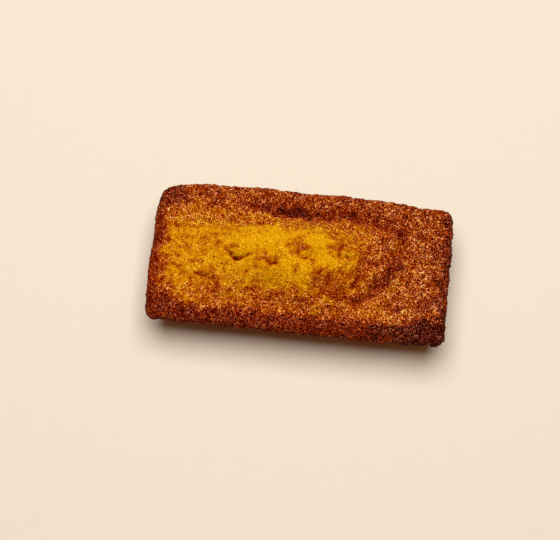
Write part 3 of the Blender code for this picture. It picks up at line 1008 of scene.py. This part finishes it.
# %% [markdown]
# ## Painted glints
# Bubbles that burst in the crust leave open rims, and where butter stands on a rim it catches the light.
# A shiny film all over would only mirror the lamp, but real rims face every way, so some always shine. So
# the glints are painted into the colour as painted highlights, and the same rims also get a thin coat and
# a smoother finish. The rims come from a pattern of cells, and are kept in loose clusters. They are
# brightest on brown crust, and fainter on gold and on the darkest parts.

# %% Painted glints
BUBBLE, BUBBLE_WARP, RIM_WIDTH = 0.75, 0.5, 0.2
GLINT_SPACING, GLINT_CLUSTER, CLUSTERING, GLINT_KEPT = 0.6, 2.0, 0.9, (0.52, 0.62)
# How bright the painted glint and how thick the coat of butter are, by browning.
PAINTED_GLINT_AND_COAT_AMOUNTS = {0.0: 0.35, 0.3: 0.6, 0.48: 1.0, 0.65: 0.8, 0.8: 0.4}  # by share of BROWNING_RANGE


def painted_glint_and_gloss_rims(recipe, place, bubble_place):
    """1 on the bubble rims that get a painted glint and gloss: 1 - distance / width, times a mask of two
    sizes of noise.
    """
    rim = (1 - recipe.bubbles(bubble_place, BUBBLE, "DISTANCE_TO_EDGE") / RIM_WIDTH).clamped()
    spots = recipe.noise(place, GLINT_SPACING, detail=0.0)
    cluster = recipe.noise(place, GLINT_CLUSTER, detail=1.0)
    return rim * (spots + CLUSTERING * (cluster - NOISE_MEAN)).between(*GLINT_KEPT)


def painted_glint_and_coat_amount(recipe, browning):
    """How bright the painted glint, and how thick the coat, is on crust of this browning."""
    return recipe.ramp(browning, {place: (share,) * 3 for place, share in PAINTED_GLINT_AND_COAT_AMOUNTS.items()})


brightest = max(PAINTED_GLINT_AND_COAT_AMOUNTS, key=PAINTED_GLINT_AND_COAT_AMOUNTS.get) * BROWNING_RANGE
print("glints are brightest at browning", round(brightest, 2))

# %% [markdown]
# ## Crust
# The layers come together here: the browned colour, light steps painted into it, and a bump of the same
# patterns. The steps give the grains a random tone that also stands in for their light and shade, painted
# shade in the bubbles' hollows with lighter walls between them, and painted glints on the bubble rims.
# Bump alone could give the grain, but under soft light it hardly shows, so its light and shade are
# painted. Butter is deep yellow, so it takes a little green and more blue away wherever the steps are
# strong, and dark crust stays warm.

# %% Crust material
GRAIN, BUBBLE_MEAN = 0.27, 0.42
SMOOTH_STRENGTH, COARSE_STRENGTH = 0.3, 0.9
# Steps painted into the colour: shade in the bubbles' hollows, the grains' tone with their light and
# shade, and glints on the rims.
BUBBLE_HOLLOW_SHADE_STEP, GRAIN_TONE_AND_SHADE_STEP, PAINTED_GLINT_STEP = 0.2, 1.12, 0.36
BUTTER_STEP = (0.0, -0.05, -0.11)
WALL_BUMP, GRAIN_BUMP, CRUMB_BUMP, BUMP_DEPTH = 0.8, 1.0, 0.5, 0.22
DULL, GLINT_SMOOTHER = 0.6, 0.3
SHEEN, SHEEN_TINT = 0.02, (1.0, 0.35, 0.05, 1.0)
BUTTER_COAT, BUTTER_ROUGHNESS = 0.08, 0.25


def crust_material():
    """Browned colour with painted light steps and painted glints, butter's coat and a bump."""
    recipe = Recipe("crust")
    place = recipe.object_place()
    coarseness = recipe.attribute("coarseness")
    browning = recipe.attribute("browning") / BROWNING_RANGE
    strength = SMOOTH_STRENGTH + COARSE_STRENGTH * coarseness
    grain = recipe.noise(place, GRAIN, detail=0.0)
    crumb = recipe.noise(place, CRUMB, CRUMB_DETAIL)
    bubble_place = recipe.warped(place, CRUMB, BUBBLE_WARP)
    wall = recipe.bubbles(bubble_place, BUBBLE, "F1")
    painted_glint_and_gloss = painted_glint_and_gloss_rims(recipe, place, bubble_place)
    amount = painted_glint_and_coat_amount(recipe, browning)
    # Painted shade in the bubbles' hollows, lighter walls between them, and the grains' random tone,
    # which also stands in for their light and shade.
    step = BUBBLE_HOLLOW_SHADE_STEP * (wall - BUBBLE_MEAN) + GRAIN_TONE_AND_SHADE_STEP * (grain - NOISE_MEAN)
    # Painted glints: highlights on the bubble rims, painted into the colour.
    step = strength * (step + PAINTED_GLINT_STEP * amount * painted_glint_and_gloss)
    step = recipe.on_vectors("MULTIPLY_ADD", strength, BUTTER_STEP, step)
    colour = stepped(recipe, browned(recipe, browning, coarseness, crumb), step)
    height = strength * (WALL_BUMP * wall + GRAIN_BUMP * grain + CRUMB_BUMP * crumb)
    bump = {"Strength": 1.0, "Distance": BUMP_DEPTH * MM, "Height": height}
    finish = {
        "Base Color": colour,
        "Roughness": (DULL - GLINT_SMOOTHER * painted_glint_and_gloss).clamped(),
        "Specular IOR Level": SHEEN,
        "Specular Tint": SHEEN_TINT,
        "Coat Weight": (BUTTER_COAT * amount * painted_glint_and_gloss * strength).clamped(),
        "Coat Roughness": BUTTER_ROUGHNESS,
        "Normal": recipe.node("ShaderNodeBump", {}, bump),
    }
    for socket, value in finish.items():
        recipe.plug(recipe.shader.inputs[socket], value)
    return recipe.material


skin.materials.append(crust_material())
crust = bpy.data.objects.new("crust", skin)
bpy.context.scene.collection.objects.link(crust)
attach(crust, "root")
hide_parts("financier_cake")
print(len(skin.materials[0].node_tree.nodes), "nodes in the crust's material")

# %% [markdown]
# ## Floor
# The cake stands on a plain cream floor. A curved backdrop could hide the horizon, but from so steep a
# view a flat sheet fills the picture. It is only staging, no part of the cake.

# %% Floor
FLOOR_COLOUR = (0.86, 0.80, 0.69, 1.0)
FLOOR_REACH = 3000.0
FLOOR_ROUGHNESS, FLOOR_UNEVENNESS, FLOOR_SPOTS = 0.6, 0.15, 4.0


def floor():
    """A wide flat sheet at the height of the cake's base, a little uneven in its gloss."""
    corners = np.array([[-1, -1, 0], [1, -1, 0], [1, 1, 0], [-1, 1, 0]]) * FLOOR_REACH
    mesh = make_mesh("floor", corners, np.array([[0, 1, 2, 3]]), np.zeros((0, 3), int))
    recipe = Recipe("floor")
    spots = recipe.noise(recipe.object_place(), FLOOR_SPOTS, detail=2.0)
    recipe.plug(recipe.shader.inputs["Roughness"], FLOOR_ROUGHNESS + FLOOR_UNEVENNESS * spots)
    recipe.plug(recipe.shader.inputs["Base Color"], FLOOR_COLOUR)
    mesh.materials.append(recipe.material)
    return bpy.data.objects.new("floor", mesh)


ground = floor()
bpy.context.scene.collection.objects.link(ground)
print("the floor reaches", FLOOR_REACH / 1000, "m to each side")

# %% [markdown]
# ## Light
# One large soft lamp hangs high up, a little behind the cake and to its left, so the shadow is
# short and soft on the near side. A second lamp could lighten that shadow, but a faint warm
# surround does it from all round and adds no highlight of its own.

# %% Light
LAMP_ELEVATION, LAMP_AZIMUTH = np.radians(77), np.radians(180 + 6)
LAMP_DISTANCE, LAMP_SIZE, LAMP_POWER = 900.0, 840.0, 10.0
LAMP_COLOUR = (1.0, 0.955, 0.9)
SURROUND_COLOUR, SURROUND_STRENGTH = (1.0, 0.58, 0.26, 1.0), 0.11


def lamp():
    """A square softbox that faces the cake."""
    light = bpy.data.lights.new("softbox", "AREA")
    light.shape = "SQUARE"
    light.size = LAMP_SIZE * MM
    light.energy = LAMP_POWER
    light.color = LAMP_COLOUR
    softbox = bpy.data.objects.new("softbox", light)
    look_from(softbox, LAMP_DISTANCE * direction(LAMP_AZIMUTH, LAMP_ELEVATION), np.zeros(3))
    return softbox


def surround():
    """The light that comes from all round."""
    world = bpy.data.worlds.new("surround")
    world.use_nodes = True
    background = world.node_tree.nodes["Background"]
    background.inputs["Color"].default_value = SURROUND_COLOUR
    background.inputs["Strength"].default_value = SURROUND_STRENGTH
    return world


softbox = lamp()
bpy.context.scene.collection.objects.link(softbox)
bpy.context.scene.world = surround()
bpy.context.scene.view_settings.view_transform = "Standard"
print("softbox at", np.round(np.array(softbox.location) / MM), "mm")
